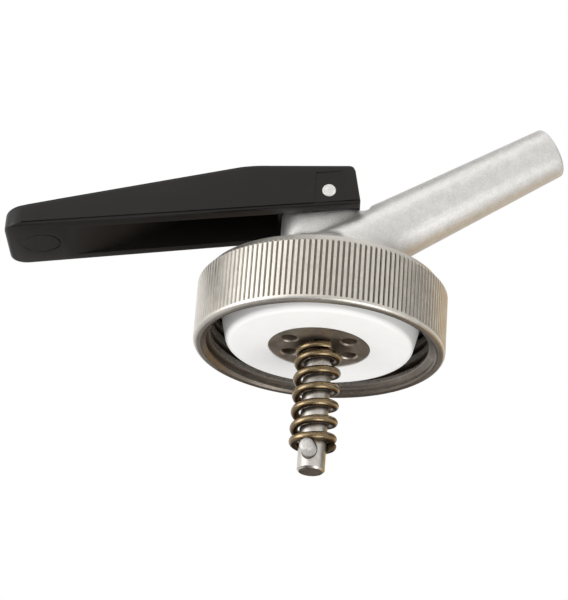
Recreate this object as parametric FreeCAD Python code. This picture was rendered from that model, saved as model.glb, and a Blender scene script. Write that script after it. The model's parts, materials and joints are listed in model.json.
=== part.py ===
# Jerrican tap: a knurled union nut that screws on a can's neck, a cast body with a slanting spout,
# a white sealing cone with a perforated valve plate, and a lever that lifts the sprung valve stem.
# Millimetres. The origin is on the nut's axis at its lower face. +Z points away from the can,
# the lever points to -X and the spout to +X.
import FreeCAD, Part
import math
import os

# Union nut
NUT_OUTER_R = 27.5
NUT_HEIGHT = 15.8
NUT_TOP_WALL = 2.4
NUT_EDGE_ROUND = 0.6
NUT_MOUTH_ROUND = 0.9
NUT_CHAMFER_WIDTH = 1.9
NUT_CHAMFER_HEIGHT = 2.2
FLUTE_PITCH = 1.183
FLUTE_DEPTH = 0.42
FLUTE_WIDTH = 0.54
FLUTE_FLOOR_WIDTH = 0.2
FLUTE_START = 1.0

# Screw thread in the nut, for the can's neck
THREAD_MAJOR_R = 25.3
THREAD_DEPTH = 1.4
THREAD_PITCH = 3.0
THREAD_FLOOR_WIDTH = 0.8
THREAD_FLANK_ANGLE = 20.0
MOUTH_LEAD_IN = 0.35
RELIEF_HEIGHT = 2.1

# Cast body: flange and tube inside the nut, neck through it, head above it
FLANGE_R = 22.6
FLANGE_THICKNESS = 2.8
TUBE_R = 14.2
NECK_R = 13.0
NECK_HEIGHT = 5.7
SHOULDER_HEIGHT = 6.5
SHOULDER_TOP_R = 8.2
HEAD_TOP_Z = 32.6
HEAD_WIDTH = 11.0
HEAD_BACK = 10.2
HEAD_FRONT = 8.9
HEAD_BACK_FLAT = 0.23
CHAMBER_WALL_HEIGHT = 7.2
CHAMBER_ROOF_HEIGHT = 3.0
CHAMBER_ROOF_R = 5.6

# Spout
SPOUT_ANGLE = 32.5
SPOUT_AXIS_Z = 20.97
SPOUT_LENGTH = 58.6
SPOUT_TIP_R = 5.79
SPOUT_MID_R = 6.87
SPOUT_ROOT_R = 7.9
SPOUT_ROOT_LENGTH = 21.0
SPOUT_BORE_R = 4.3
SPOUT_BORE_START = -1.1
OUTLET_REAM_R = 4.5
OUTLET_REAM_DEPTH = 20.0
SPOUT_EDGE_ROUND = 0.5

# Sealing cone
CONE_BOTTOM_Z = 0.8
CONE_BOTTOM_R = 20.3
CONE_SLOPE = 0.24
CONE_EDGE_ROUND = 1.4
CONE_BEAD_DEPTH = 0.5
CONE_BEAD_HEIGHT = 1.4

# Valve plate
PLATE_FACE_Z = 1.0
PLATE_BOSS_STEP = 1.4
PLATE_BOSS_HEIGHT = 2.6
PLATE_RIM_WALL = 1.7
PLATE_RIM_HEIGHT = 3.0
PLATE_HOLE_R = 1.75
PLATE_HOLE_CIRCLE_R = 7.5
PLATE_HOLE_CHAMFER = 0.3
PLATE_HOLE_AZIMUTHS = (30.0, 150.0, 210.0, 330.0)
SEAL_RING_THICKNESS = 0.8
SEAL_RING_WIDTH = 1.5

# Valve on the stem
STEM_R = 3.0
STEM_BELOW_ORIGIN = 27.9
STEM_CHAMFER = 0.4
VALVE_CHAMBER_GAP = 0.8
GASKET_THICKNESS = 1.5
VALVE_DISC_THICKNESS = 2.2
VALVE_HUB_R = 5.0
VALVE_HUB_HEIGHT = 1.5
CLIP_THICKNESS = 0.8
CLIP_GROOVE_DEPTH = 0.6
CLIP_R = 4.6
CLIP_GAP = 2.6

# Stem gland in the head
GLAND_R = 4.4
GLAND_DEPTH = 2.9
BUSH_THICKNESS = 1.4

# Return spring and its cross pin
SPRING_WIRE_R = 0.9
SPRING_COIL_R = 4.25
SPRING_TURNS = 6.84
SPRING_TOP_AZIMUTH = -59.0
SPRING_CLOSED_TURNS = 1.0
SPRING_CLOSED_GAP = 0.05
SPRING_END_TURNS = 0.72
SPRING_REST_TURNS = 0.5
SPRING_END_DROP = 0.6
SPRING_POINTS_PER_TURN = 24
CROSS_PIN_R = 1.6
CROSS_PIN_LENGTH = 12.4
CROSS_PIN_END_ROUND = 0.88
CROSS_PIN_ABOVE_END = 4.06
CROSS_PIN_AZIMUTH = 77.4
CROSS_PIN_SINK = 0.7

# Lever and its pin
LEVER_PIN_R = 1.5
LEVER_PIN_ABOVE_HEAD = 2.35
LEVER_PIN_PROUD = 0.1
LEVER_REACH = 70.6
LEVER_HEEL = 7.2
LEVER_HEEL_SLANT = 11.4
LEVER_TIP_WIDTH = 20.0
LEVER_UNDER_DROP = 3.65
LEVER_UNDER_ANGLE = 8.6
LEVER_FLAT_RISE = 6.35
LEVER_FLAT_ANGLE = 4.3
LEVER_BEND_X = -18.25
LEVER_SLOPE_ANGLE = 15.5
LEVER_BEND_ROUND = 30.0
LEVER_TIP_ROUND = 1.3
LEVER_TIP_UNDER_ROUND = 0.8
LEVER_HEEL_ROUND = 1.6
LEVER_HEEL_UNDER_ROUND = 0.3
LEVER_PLAN_ROUND = 4.0
LEVER_LOW_EDGE_ROUND = 0.8
LEVER_CHEEK = 3.0
LEVER_ROOF = 2.2
LEVER_BLOCK_BACK = 11.2
CHANNEL_RAMP_START = 49.0
CHANNEL_RAMP_END = 30.0
CHANNEL_RAMP_ROUND = 50.0
CHANNEL_ROOF_ROUND = 12.0
STROKE_ANGLE = 18.0
EJECTOR_MARK_R = 4.3
EJECTOR_MARK_X = -63.0
EJECTOR_MARK_WIDTH = 0.35
EJECTOR_MARK_DEPTH = 0.2
INSERT_MARK_WIDTH = 6.5
INSERT_MARK_HEIGHT = 7.1
INSERT_MARK_X = -0.35
INSERT_MARK_DEPTH = 0.12

# Clearances and standing allowances
RUNNING = 0.04
LOOSE = 0.15
NUT_NECK_GAP = 1.0
WASHER_THICKNESS = 0.5
WASHER_R = 19.0
WASHER_GAP = 0.1
LEVER_REST_GAP = 0.1
LEVER_HEAD_GAP = 0.25
STEM_HEAD_GAP = 0.8
CUT = 1.0
SKIM = 0.05

# Levels worked out from the sizes above
NUT_CEILING_Z = NUT_HEIGHT - NUT_TOP_WALL
WASHER_TOP_Z = NUT_CEILING_Z - WASHER_GAP
FLANGE_TOP_Z = WASHER_TOP_Z - WASHER_THICKNESS
FLANGE_BOTTOM_Z = FLANGE_TOP_Z - FLANGE_THICKNESS
PLATE_RIM_R = TUBE_R - PLATE_RIM_WALL
PLATE_BOSS_R = PLATE_RIM_R - PLATE_BOSS_STEP
CHAMBER_R = PLATE_RIM_R - SEAL_RING_WIDTH
VALVE_R = CHAMBER_R - VALVE_CHAMBER_GAP
PLATE_RIM_Z = PLATE_FACE_Z + PLATE_BOSS_HEIGHT
PLATE_TOP_Z = PLATE_RIM_Z + PLATE_RIM_HEIGHT
CHAMBER_FLOOR_Z = PLATE_TOP_Z + SEAL_RING_THICKNESS
CHAMBER_WALL_TOP_Z = CHAMBER_FLOOR_Z + CHAMBER_WALL_HEIGHT
NECK_TOP_Z = FLANGE_TOP_Z + NECK_HEIGHT
SHOULDER_TOP_Z = NECK_TOP_Z + SHOULDER_HEIGHT
GASKET_TOP_Z = PLATE_TOP_Z + GASKET_THICKNESS
DISC_TOP_Z = GASKET_TOP_Z + VALVE_DISC_THICKNESS
HUB_TOP_Z = DISC_TOP_Z + VALVE_HUB_HEIGHT
GLAND_FLOOR_Z = HEAD_TOP_Z - GLAND_DEPTH
CROSS_PIN_Z = CROSS_PIN_ABOVE_END - STEM_BELOW_ORIGIN
LEVER_PIN_Z = HEAD_TOP_Z + LEVER_PIN_ABOVE_HEAD
LEVER_BLOCK_Z = HEAD_TOP_Z + LEVER_REST_GAP
LEVER_HEEL_WIDTH = HEAD_WIDTH + 2 * (LEVER_HEAD_GAP + LEVER_CHEEK)

Y = FreeCAD.Vector(0, 1, 0)
Z = FreeCAD.Vector(0, 0, 1)


def point(x, y, z):
    return FreeCAD.Vector(x, y, z)


def tangent(degrees):
    return math.tan(math.radians(degrees))


def disc(radius, low, high):
    """A cylinder about the Z axis between two levels."""
    return Part.makeCylinder(radius, high - low, point(0, 0, low))


def ring(outer, inner, low, high):
    return disc(outer, low, high).cut(disc(inner, low - CUT, high + CUT))


def rod(centre, direction, radius, length):
    """A cylinder of one length, centred on a point."""
    return Part.makeCylinder(radius, length, centre - direction * (length / 2), direction)


def block(x0, x1, y0, y1, z0, z1):
    return Part.makeBox(x1 - x0, y1 - y0, z1 - z0, point(x0, y0, z0))


def rounded_wire(corners):
    """A closed flat wire through corners given as (vector, corner radius)."""
    count = len(corners)
    entries = []
    exits = []
    arcs = []
    for i in range(count):
        here, radius = corners[i]
        before = (corners[i - 1][0] - here).normalize()
        after = (corners[(i + 1) % count][0] - here).normalize()
        half = before.getAngle(after) / 2
        setback = radius / math.tan(half)
        start = here + before * setback
        end = here + after * setback
        entries.append(start)
        exits.append(end)
        if radius > 0:
            centre = here + (before + after).normalize() * (radius / math.sin(half))
            middle = centre + (here - centre).normalize() * radius
            arcs.append(Part.Arc(start, middle, end).toShape())
        else:
            arcs.append(None)
    edges = []
    for i in range(count):
        if arcs[i]:
            edges.append(arcs[i])
        following = entries[(i + 1) % count]
        if exits[i].distanceToPoint(following) > 1e-6:
            edges.append(Part.LineSegment(exits[i], following).toShape())
    return Part.Wire(edges)


def turned(corners):
    """Revolve a closed profile of (radius, level, corner radius) about the Z axis."""
    wire = rounded_wire([(point(r, 0, z), rounding) for r, z, rounding in corners])
    return Part.Face(wire).revolve(point(0, 0, 0), Z, 360)


def side_profile(corners, depth):
    """Extrude a profile of (x, z, corner radius) through the whole width, centred on Y = 0."""
    wire = rounded_wire([(point(x, -depth / 2, z), rounding) for x, z, rounding in corners])
    return Part.Face(wire).extrude(Y * depth)


def plan_profile(corners, low, high):
    """Extrude a plan of (x, y, corner radius) between two levels."""
    wire = rounded_wire([(point(x, y, low), rounding) for x, y, rounding in corners])
    return Part.Face(wire).extrude(Z * (high - low))


# Union nut

def flute_cutter():
    """A sleeve round the nut whose inner outline is the fluted grip, so one cut makes all flutes."""
    count = round(2 * math.pi * NUT_OUTER_R / FLUTE_PITCH)
    flank = (FLUTE_WIDTH - FLUTE_FLOOR_WIDTH) / 2 / FLUTE_DEPTH
    outside = NUT_OUTER_R + FLUTE_DEPTH
    half_outside = FLUTE_WIDTH / 2 + flank * FLUTE_DEPTH
    floor_r = NUT_OUTER_R - FLUTE_DEPTH
    corners = []
    for i in range(count):
        middle = 2 * math.pi * i / count
        for side, radius in (
            (-half_outside, outside),
            (-FLUTE_FLOOR_WIDTH / 2, floor_r),
            (FLUTE_FLOOR_WIDTH / 2, floor_r),
            (half_outside, outside),
        ):
            azimuth = middle + side / radius
            corners.append(point(radius * math.cos(azimuth), radius * math.sin(azimuth), FLUTE_START))
    star = Part.Face(Part.makePolygon(corners + corners[:1]))
    height = NUT_HEIGHT - FLUTE_START + CUT
    sleeve = disc(outside + CUT, FLUTE_START, FLUTE_START + height)
    return sleeve.cut(star.extrude(Z * height))


def thread_cutter(major, depth, low, high):
    """One helical groove with sloping flanks, wide enough at its mouth to clear the bore."""
    minor = major - depth
    flank = tangent(THREAD_FLANK_ANGLE)
    inner = minor - 2 * RUNNING
    half_floor = THREAD_FLOOR_WIDTH / 2
    half_mouth = half_floor + flank * (major - inner)
    helix = Part.makeLongHelix(THREAD_PITCH, high - low, major)
    helix.translate(Z * low)
    profile = Part.makePolygon([
        point(major, 0, low - half_floor),
        point(major, 0, low + half_floor),
        point(inner, 0, low + half_mouth),
        point(inner, 0, low - half_mouth),
        point(major, 0, low - half_floor),
    ])
    return Part.Wire(helix.Edges).makePipeShell([profile], True, True)


def union_nut():
    minor = THREAD_MAJOR_R - THREAD_DEPTH
    mouth = THREAD_MAJOR_R + MOUTH_LEAD_IN
    hole = NECK_R + NUT_NECK_GAP
    relief_z = NUT_CEILING_Z - RELIEF_HEIGHT
    nut = turned([
        (mouth, 0, 0),
        (NUT_OUTER_R, 0, NUT_MOUTH_ROUND),
        (NUT_OUTER_R, NUT_HEIGHT - NUT_CHAMFER_HEIGHT, 0),
        (NUT_OUTER_R - NUT_CHAMFER_WIDTH, NUT_HEIGHT, NUT_EDGE_ROUND),
        (hole, NUT_HEIGHT, 0),
        (hole, NUT_CEILING_Z, 0),
        (THREAD_MAJOR_R, NUT_CEILING_Z, 0),
        (THREAD_MAJOR_R, relief_z, 0),
        (minor, relief_z - THREAD_DEPTH, 0),
        (minor, mouth - minor, 0),
    ])
    nut = nut.cut(flute_cutter())
    groove_top = relief_z + RELIEF_HEIGHT / 2
    return nut.cut(thread_cutter(THREAD_MAJOR_R, THREAD_DEPTH, -THREAD_PITCH, groove_top))


def nut_slip_washer():
    return ring(WASHER_R, NECK_R + NUT_NECK_GAP, FLANGE_TOP_Z, WASHER_TOP_Z)


# Body

def spout_direction():
    slant = math.radians(SPOUT_ANGLE)
    return point(math.cos(slant), 0, math.sin(slant))


def spout_point(along):
    """A point on the spout's axis, measured from where it crosses the stem's axis."""
    return point(0, 0, SPOUT_AXIS_Z) + spout_direction() * along


def spout_outside():
    """Ball end over the valve chamber, a steeper root and the slightly tapered tube."""
    ball = Part.makeSphere(SPOUT_ROOT_R, spout_point(0))
    root = Part.makeCone(SPOUT_ROOT_R, SPOUT_MID_R, SPOUT_ROOT_LENGTH, spout_point(0), spout_direction())
    tube_length = SPOUT_LENGTH - SPOUT_ROOT_LENGTH
    start = spout_point(SPOUT_ROOT_LENGTH)
    tube = Part.makeCone(SPOUT_MID_R, SPOUT_TIP_R, tube_length, start, spout_direction())
    rims = [edge for edge in tube.Edges if abs(edge.Length - 2 * math.pi * SPOUT_TIP_R) < 1e-3]
    tube = tube.makeFillet(SPOUT_EDGE_ROUND, rims)
    return ball.fuse([root, tube])


def spout_passage():
    """The bore from the valve chamber to the mouth, with its reamed end."""
    length = SPOUT_LENGTH + CUT - SPOUT_BORE_START
    bore = Part.makeCylinder(SPOUT_BORE_R, length, spout_point(SPOUT_BORE_START), spout_direction())
    ream_start = spout_point(SPOUT_LENGTH - OUTLET_REAM_DEPTH)
    ream = Part.makeCylinder(OUTLET_REAM_R, OUTLET_REAM_DEPTH + CUT, ream_start, spout_direction())
    return bore.fuse(ream)


def body_head():
    """The flat-topped slab that guides the stem, with a round back."""
    half = HEAD_WIDTH / 2
    back_round = half - HEAD_BACK_FLAT / 2
    return plan_profile([
        (-HEAD_BACK, -half, back_round),
        (HEAD_FRONT, -half, 0),
        (HEAD_FRONT, half, 0),
        (-HEAD_BACK, half, back_round),
    ], NECK_TOP_Z, HEAD_TOP_Z)


def valve_chamber():
    roof = Part.makeCone(
        CHAMBER_R, CHAMBER_ROOF_R, CHAMBER_ROOF_HEIGHT, point(0, 0, CHAMBER_WALL_TOP_Z)
    )
    wall = disc(CHAMBER_R, CHAMBER_FLOOR_Z - CUT, CHAMBER_WALL_TOP_Z)
    plate_seat = disc(PLATE_RIM_R, PLATE_RIM_Z - CUT, CHAMBER_FLOOR_Z)
    return wall.fuse([roof, plate_seat])


def tap_body():
    bead_z = bead_middle()
    tube = turned([
        (0, PLATE_RIM_Z, 0),
        (TUBE_R, PLATE_RIM_Z, 0),
        (TUBE_R, bead_z - CONE_BEAD_HEIGHT / 2, 0),
        (TUBE_R - CONE_BEAD_DEPTH, bead_z, 0),
        (TUBE_R, bead_z + CONE_BEAD_HEIGHT / 2, 0),
        (TUBE_R, FLANGE_BOTTOM_Z, 0),
        (FLANGE_R, FLANGE_BOTTOM_Z, 0),
        (FLANGE_R, FLANGE_TOP_Z, NUT_EDGE_ROUND),
        (NECK_R, FLANGE_TOP_Z, 0),
        (NECK_R, NECK_TOP_Z, 0),
        (SHOULDER_TOP_R, SHOULDER_TOP_Z, 0),
        (0, SHOULDER_TOP_Z, 0),
    ])
    casting = tube.fuse([body_head(), spout_outside()])
    over_head = block(-NUT_OUTER_R, HEAD_FRONT, -NUT_OUTER_R, NUT_OUTER_R, HEAD_TOP_Z, 2 * HEAD_TOP_Z)
    casting = casting.cut(over_head)
    stem_hole = disc(STEM_R + RUNNING, CHAMBER_FLOOR_Z, HEAD_TOP_Z + CUT)
    gland = disc(GLAND_R, GLAND_FLOOR_Z, HEAD_TOP_Z + CUT)
    return casting.cut([valve_chamber(), spout_passage(), stem_hole, gland])


def stem_o_ring():
    """An O-ring that fills the gland between the stem and the bore."""
    section_r = (GLAND_R - STEM_R - RUNNING) / 2
    centre_r = GLAND_R - section_r
    return Part.makeTorus(centre_r, section_r, point(0, 0, GLAND_FLOOR_Z + section_r))


def gland_bush():
    return ring(GLAND_R, STEM_R + RUNNING, HEAD_TOP_Z - BUSH_THICKNESS, HEAD_TOP_Z)


# Sealing cone

def bead_middle():
    """The level of the snap bead that holds the cone on the body's tube."""
    return (PLATE_RIM_Z + FLANGE_BOTTOM_Z) / 2


def sealing_cone():
    top_r = CONE_BOTTOM_R + CONE_SLOPE * (FLANGE_BOTTOM_Z - CONE_BOTTOM_Z)
    lip_r = PLATE_BOSS_R + RUNNING
    bead_z = bead_middle()
    return turned([
        (lip_r, CONE_BOTTOM_Z, 0),
        (CONE_BOTTOM_R, CONE_BOTTOM_Z, CONE_EDGE_ROUND),
        (top_r, FLANGE_BOTTOM_Z, 0),
        (TUBE_R, FLANGE_BOTTOM_Z, 0),
        (TUBE_R, bead_z + CONE_BEAD_HEIGHT / 2, 0),
        (TUBE_R - CONE_BEAD_DEPTH, bead_z, 0),
        (TUBE_R, bead_z - CONE_BEAD_HEIGHT / 2, 0),
        (TUBE_R, PLATE_RIM_Z, 0),
        (lip_r, PLATE_RIM_Z, 0),
    ])


# Valve plate and its seal

def valve_plate():
    """The perforated screw-in plate: seat for the valve, guide for the stem and rest for the spring."""
    plate = disc(PLATE_BOSS_R, PLATE_FACE_Z, PLATE_RIM_Z).fuse(disc(PLATE_RIM_R, PLATE_RIM_Z, PLATE_TOP_Z))
    holes = [disc(STEM_R + RUNNING, PLATE_FACE_Z - CUT, PLATE_TOP_Z + CUT)]
    for azimuth in PLATE_HOLE_AZIMUTHS:
        turn = math.radians(azimuth)
        place = point(math.cos(turn), math.sin(turn), 0) * PLATE_HOLE_CIRCLE_R
        place.z = PLATE_FACE_Z - CUT
        holes.append(Part.makeCylinder(PLATE_HOLE_R, PLATE_TOP_Z - PLATE_FACE_Z + 2 * CUT, place))
        holes.append(Part.makeCone(PLATE_HOLE_R + PLATE_HOLE_CHAMFER + CUT, PLATE_HOLE_R, PLATE_HOLE_CHAMFER + CUT, place))
    return plate.cut(holes).removeSplitter()


def plate_seal_ring():
    return ring(PLATE_RIM_R, CHAMBER_R, PLATE_TOP_Z, CHAMBER_FLOOR_Z)


# Stem, valve and spring

def valve_stem():
    bottom = -STEM_BELOW_ORIGIN
    shaft = turned([
        (0, bottom, 0),
        (STEM_R - STEM_CHAMFER, bottom, 0),
        (STEM_R, bottom + STEM_CHAMFER, 0),
        (STEM_R, HUB_TOP_Z, 0),
        (STEM_R - CLIP_GROOVE_DEPTH, HUB_TOP_Z, 0),
        (STEM_R - CLIP_GROOVE_DEPTH, HUB_TOP_Z + CLIP_THICKNESS, 0),
        (STEM_R, HUB_TOP_Z + CLIP_THICKNESS, 0),
        (STEM_R, LEVER_PIN_Z, 0),
        (0, LEVER_PIN_Z, 0),
    ])
    dome = Part.makeSphere(STEM_R, point(0, 0, LEVER_PIN_Z))
    eye = rod(point(0, 0, LEVER_PIN_Z), Y, LEVER_PIN_R + RUNNING, 4 * STEM_R)
    cross = rod(point(0, 0, CROSS_PIN_Z), cross_pin_direction(), CROSS_PIN_R, 4 * STEM_R)
    sinks = []
    flare = CROSS_PIN_SINK + CUT
    for side in (-1, 1):
        outward = cross_pin_direction() * side
        mouth = point(0, 0, CROSS_PIN_Z) + outward * (STEM_R - CROSS_PIN_SINK)
        sinks.append(Part.makeCone(CROSS_PIN_R, CROSS_PIN_R + flare, flare, mouth, outward))
    return shaft.fuse(dome).cut([eye, cross] + sinks).removeSplitter()


def valve_gasket():
    return ring(VALVE_R, STEM_R, PLATE_TOP_Z, GASKET_TOP_Z)


def valve_disc():
    hub = ring(VALVE_HUB_R, STEM_R, GASKET_TOP_Z, HUB_TOP_Z)
    return ring(VALVE_R, STEM_R, GASKET_TOP_Z, DISC_TOP_Z).fuse(hub).removeSplitter()


def valve_clip():
    """The open retaining ring in the stem's groove that drives the valve down with the stem."""
    top = HUB_TOP_Z + CLIP_THICKNESS
    whole = ring(CLIP_R, STEM_R - CLIP_GROOVE_DEPTH, HUB_TOP_Z, top)
    return whole.cut(block(0, 2 * CLIP_R, -CLIP_GAP / 2, CLIP_GAP / 2, HUB_TOP_Z - CUT, top + CUT))


def cross_pin_direction():
    turn = math.radians(CROSS_PIN_AZIMUTH)
    return point(math.cos(turn), math.sin(turn), 0)


def spring_cross_pin():
    """A plain pin across the stem with domed ends."""
    pin = rod(point(0, 0, CROSS_PIN_Z), cross_pin_direction(), CROSS_PIN_R, CROSS_PIN_LENGTH)
    ends = [edge for edge in pin.Edges if abs(edge.Length - 2 * math.pi * CROSS_PIN_R) < 1e-3]
    return pin.makeFillet(CROSS_PIN_END_ROUND, ends)


def spring_level(turn):
    """Level of the wire's centre: a closed coil, open coils, then a flat end that hooks past the pin."""
    top = PLATE_FACE_Z - SPRING_WIRE_R - RUNNING
    rest = CROSS_PIN_Z + CROSS_PIN_R + SPRING_WIRE_R + RUNNING
    closed_drop = (2 * SPRING_WIRE_R + SPRING_CLOSED_GAP) * SPRING_CLOSED_TURNS
    rest_turn = SPRING_TURNS - SPRING_END_TURNS
    if turn < SPRING_CLOSED_TURNS:
        return top - closed_drop * turn / SPRING_CLOSED_TURNS
    if turn < rest_turn:
        share = (turn - SPRING_CLOSED_TURNS) / (rest_turn - SPRING_CLOSED_TURNS)
        return top - closed_drop - (top - closed_drop - rest) * share
    past = turn - rest_turn - SPRING_REST_TURNS
    hook = SPRING_END_TURNS - SPRING_REST_TURNS
    return rest - SPRING_END_DROP * max(0.0, past / hook)


def return_spring():
    """Right-handed coil of round wire between the valve plate and the cross pin."""
    count = round(SPRING_TURNS * SPRING_POINTS_PER_TURN)
    route = []
    for i in range(count + 1):
        turn = SPRING_TURNS * i / count
        azimuth = math.radians(SPRING_TOP_AZIMUTH - 360 * turn)
        route.append(point(
            SPRING_COIL_R * math.cos(azimuth), SPRING_COIL_R * math.sin(azimuth), spring_level(turn)
        ))
    path = Part.BSplineCurve()
    path.interpolate(route)
    heading = path.tangent(path.FirstParameter)[0]
    section = Part.Wire([Part.makeCircle(SPRING_WIRE_R, route[0], heading)])
    return Part.Wire([path.toShape()]).makePipeShell([section], True, True)


# Lever

def lever_under(x):
    return LEVER_PIN_Z - LEVER_UNDER_DROP + x * tangent(LEVER_UNDER_ANGLE)


def lever_top(x):
    """The top outline: nearly level over the pin, then sloping down to the tip."""
    flat = LEVER_PIN_Z + LEVER_FLAT_RISE + max(x, LEVER_BEND_X) * tangent(LEVER_FLAT_ANGLE)
    return flat + min(0.0, x - LEVER_BEND_X) * tangent(LEVER_SLOPE_ANGLE)


def lever_half_width(x):
    growth = (LEVER_TIP_WIDTH - LEVER_HEEL_WIDTH) / 2 / (LEVER_REACH + LEVER_HEEL)
    return LEVER_HEEL_WIDTH / 2 + growth * (LEVER_HEEL - x)


def lever_channel():
    """The hollow between the cheeks: a ramp up from the solid tip, then a roof to the pivot block."""
    ramp_x = -CHANNEL_RAMP_START
    roof_x = -CHANNEL_RAMP_END
    heel_x = LEVER_HEEL + CUT
    skim_x = EJECTOR_MARK_X
    side = side_profile([
        (skim_x, lever_under(skim_x) - CUT, 0),
        (skim_x, lever_under(skim_x) - SKIM, 0),
        (ramp_x, lever_under(ramp_x) - SKIM, CHANNEL_RAMP_ROUND),
        (roof_x, lever_top(roof_x) - LEVER_ROOF, CHANNEL_ROOF_ROUND),
        (LEVER_BEND_X, lever_top(LEVER_BEND_X) - LEVER_ROOF, 0),
        (-LEVER_BLOCK_BACK, lever_top(-LEVER_BLOCK_BACK) - LEVER_ROOF, 0),
        (-LEVER_BLOCK_BACK, LEVER_BLOCK_Z, 0),
        (heel_x, LEVER_BLOCK_Z, 0),
        (heel_x, lever_under(heel_x) - CUT, 0),
        (-LEVER_BLOCK_BACK, lever_under(-LEVER_BLOCK_BACK) - CUT, 0),
    ], LEVER_TIP_WIDTH)
    wide = lever_half_width(skim_x) - LEVER_CHEEK
    narrow = lever_half_width(heel_x) - LEVER_CHEEK
    plan = plan_profile([
        (skim_x, -wide, 0),
        (heel_x, -narrow, 0),
        (heel_x, narrow, 0),
        (skim_x, wide, 0),
    ], 0, LEVER_PIN_Z + LEVER_REACH)
    return side.common(plan)


def stem_slot():
    """The pocket in the pivot block that the stem's eye swings in."""
    swing = (LEVER_PIN_Z - LEVER_BLOCK_Z) * tangent(STROKE_ANGLE)
    reach = STEM_R / math.cos(math.radians(STROKE_ANGLE)) + swing + LOOSE
    half = STEM_R + LOOSE
    return block(-reach, reach, -half, half, LEVER_BLOCK_Z - CUT, LEVER_PIN_Z + STEM_R + STEM_HEAD_GAP)


def ejector_mark():
    """The ring that the mould leaves under the tip."""
    slant = math.radians(LEVER_UNDER_ANGLE)
    upward = point(-math.sin(slant), 0, math.cos(slant))
    place = point(EJECTOR_MARK_X, 0, lever_under(EJECTOR_MARK_X)) - upward * CUT
    height = CUT + EJECTOR_MARK_DEPTH
    outer = Part.makeCylinder(EJECTOR_MARK_R, height, place, upward)
    return outer.cut(Part.makeCylinder(EJECTOR_MARK_R - EJECTOR_MARK_WIDTH, height, place, upward))


def insert_marks():
    """The shallow squares round the pin's ends, left by the mould's inserts."""
    marks = []
    low = lever_under(INSERT_MARK_X) + LEVER_LOW_EDGE_ROUND
    floor_y = lever_half_width(INSERT_MARK_X) - INSERT_MARK_DEPTH
    for side in (-1, 1):
        y0, y1 = sorted((side * floor_y, side * (floor_y + CUT)))
        x0 = INSERT_MARK_X - INSERT_MARK_WIDTH / 2
        marks.append(block(x0, x0 + INSERT_MARK_WIDTH, y0, y1, low, low + INSERT_MARK_HEIGHT))
    return marks


def low_edge_round(side):
    """What the mould's rounding takes off the lower edge of one side."""
    def on_edge(x):
        return point(x, side * lever_half_width(x), lever_under(x))

    start = on_edge(-LEVER_REACH - CUT)
    run = on_edge(LEVER_HEEL + CUT) - start
    outward = point(0, side, 0)
    downward = point(0, 0, -1)
    centre = start - (outward + downward) * (LEVER_LOW_EDGE_ROUND - SKIM)
    low = centre + downward * LEVER_LOW_EDGE_ROUND
    beside = centre + outward * LEVER_LOW_EDGE_ROUND
    between = centre + (outward + downward) * (LEVER_LOW_EDGE_ROUND * math.sqrt(0.5))
    corner = beside + downward * LEVER_LOW_EDGE_ROUND
    beyond = corner + (outward + downward) * CUT
    outline = [
        Part.Arc(low, between, beside).toShape(),
        Part.makeLine(beside, beside + outward * CUT),
        Part.makeLine(beside + outward * CUT, beyond),
        Part.makeLine(beyond, low + downward * CUT),
        Part.makeLine(low + downward * CUT, low),
    ]
    return Part.Face(Part.Wire(outline)).extrude(run)


def lever():
    heel_x = LEVER_HEEL
    lean = tangent(LEVER_HEEL_SLANT)
    heel_low = lever_under(heel_x)
    heel_top_x = heel_x - lean * (lever_top(heel_x) - heel_low)
    tip_x = -LEVER_REACH
    side = side_profile([
        (tip_x, lever_under(tip_x), LEVER_TIP_UNDER_ROUND),
        (heel_x, heel_low, LEVER_HEEL_UNDER_ROUND),
        (heel_top_x, lever_top(heel_top_x), LEVER_HEEL_ROUND),
        (LEVER_BEND_X, lever_top(LEVER_BEND_X), LEVER_BEND_ROUND),
        (tip_x, lever_top(tip_x), LEVER_TIP_ROUND),
    ], 2 * LEVER_TIP_WIDTH)
    wide = lever_half_width(tip_x)
    narrow = lever_half_width(heel_x)
    plan = plan_profile([
        (tip_x, -wide, LEVER_PLAN_ROUND),
        (heel_x + CUT, -narrow, 0),
        (heel_x + CUT, narrow, 0),
        (tip_x, wide, LEVER_PLAN_ROUND),
    ], 0, LEVER_PIN_Z + LEVER_REACH)
    pin_hole = rod(point(0, 0, LEVER_PIN_Z), Y, LEVER_PIN_R, 2 * LEVER_HEEL_WIDTH)
    tools = [lever_channel(), stem_slot(), pin_hole, ejector_mark()] + insert_marks()
    return side.common(plan).cut(tools + [low_edge_round(-1), low_edge_round(1)])


def lever_pin():
    length = 2 * (lever_half_width(0) - INSERT_MARK_DEPTH + LEVER_PIN_PROUD)
    pin = rod(point(0, 0, LEVER_PIN_Z), Y, LEVER_PIN_R, length)
    ends = [edge for edge in pin.Edges if abs(edge.Length - 2 * math.pi * LEVER_PIN_R) < 1e-3]
    return pin.makeChamfer(LEVER_PIN_PROUD, ends)


NODES = {
    "union_nut": union_nut,
    "nut_slip_washer": nut_slip_washer,
    "tap_body": tap_body,
    "stem_o_ring": stem_o_ring,
    "gland_bush": gland_bush,
    "sealing_cone": sealing_cone,
    "valve_plate": valve_plate,
    "plate_seal_ring": plate_seal_ring,
    "valve_stem": valve_stem,
    "valve_gasket": valve_gasket,
    "valve_disc": valve_disc,
    "valve_clip": valve_clip,
    "return_spring": return_spring,
    "spring_cross_pin": spring_cross_pin,
    "lever": lever,
    "lever_pin": lever_pin,
}

os.makedirs("parts", exist_ok=True)
for name, make in NODES.items():
    shape = make()
    shape.exportStep(f"parts/{name}.step")
    print(name, "solids", len(shape.Solids), "valid", shape.isValid(), "mm3", round(shape.Volume, 1))
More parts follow.
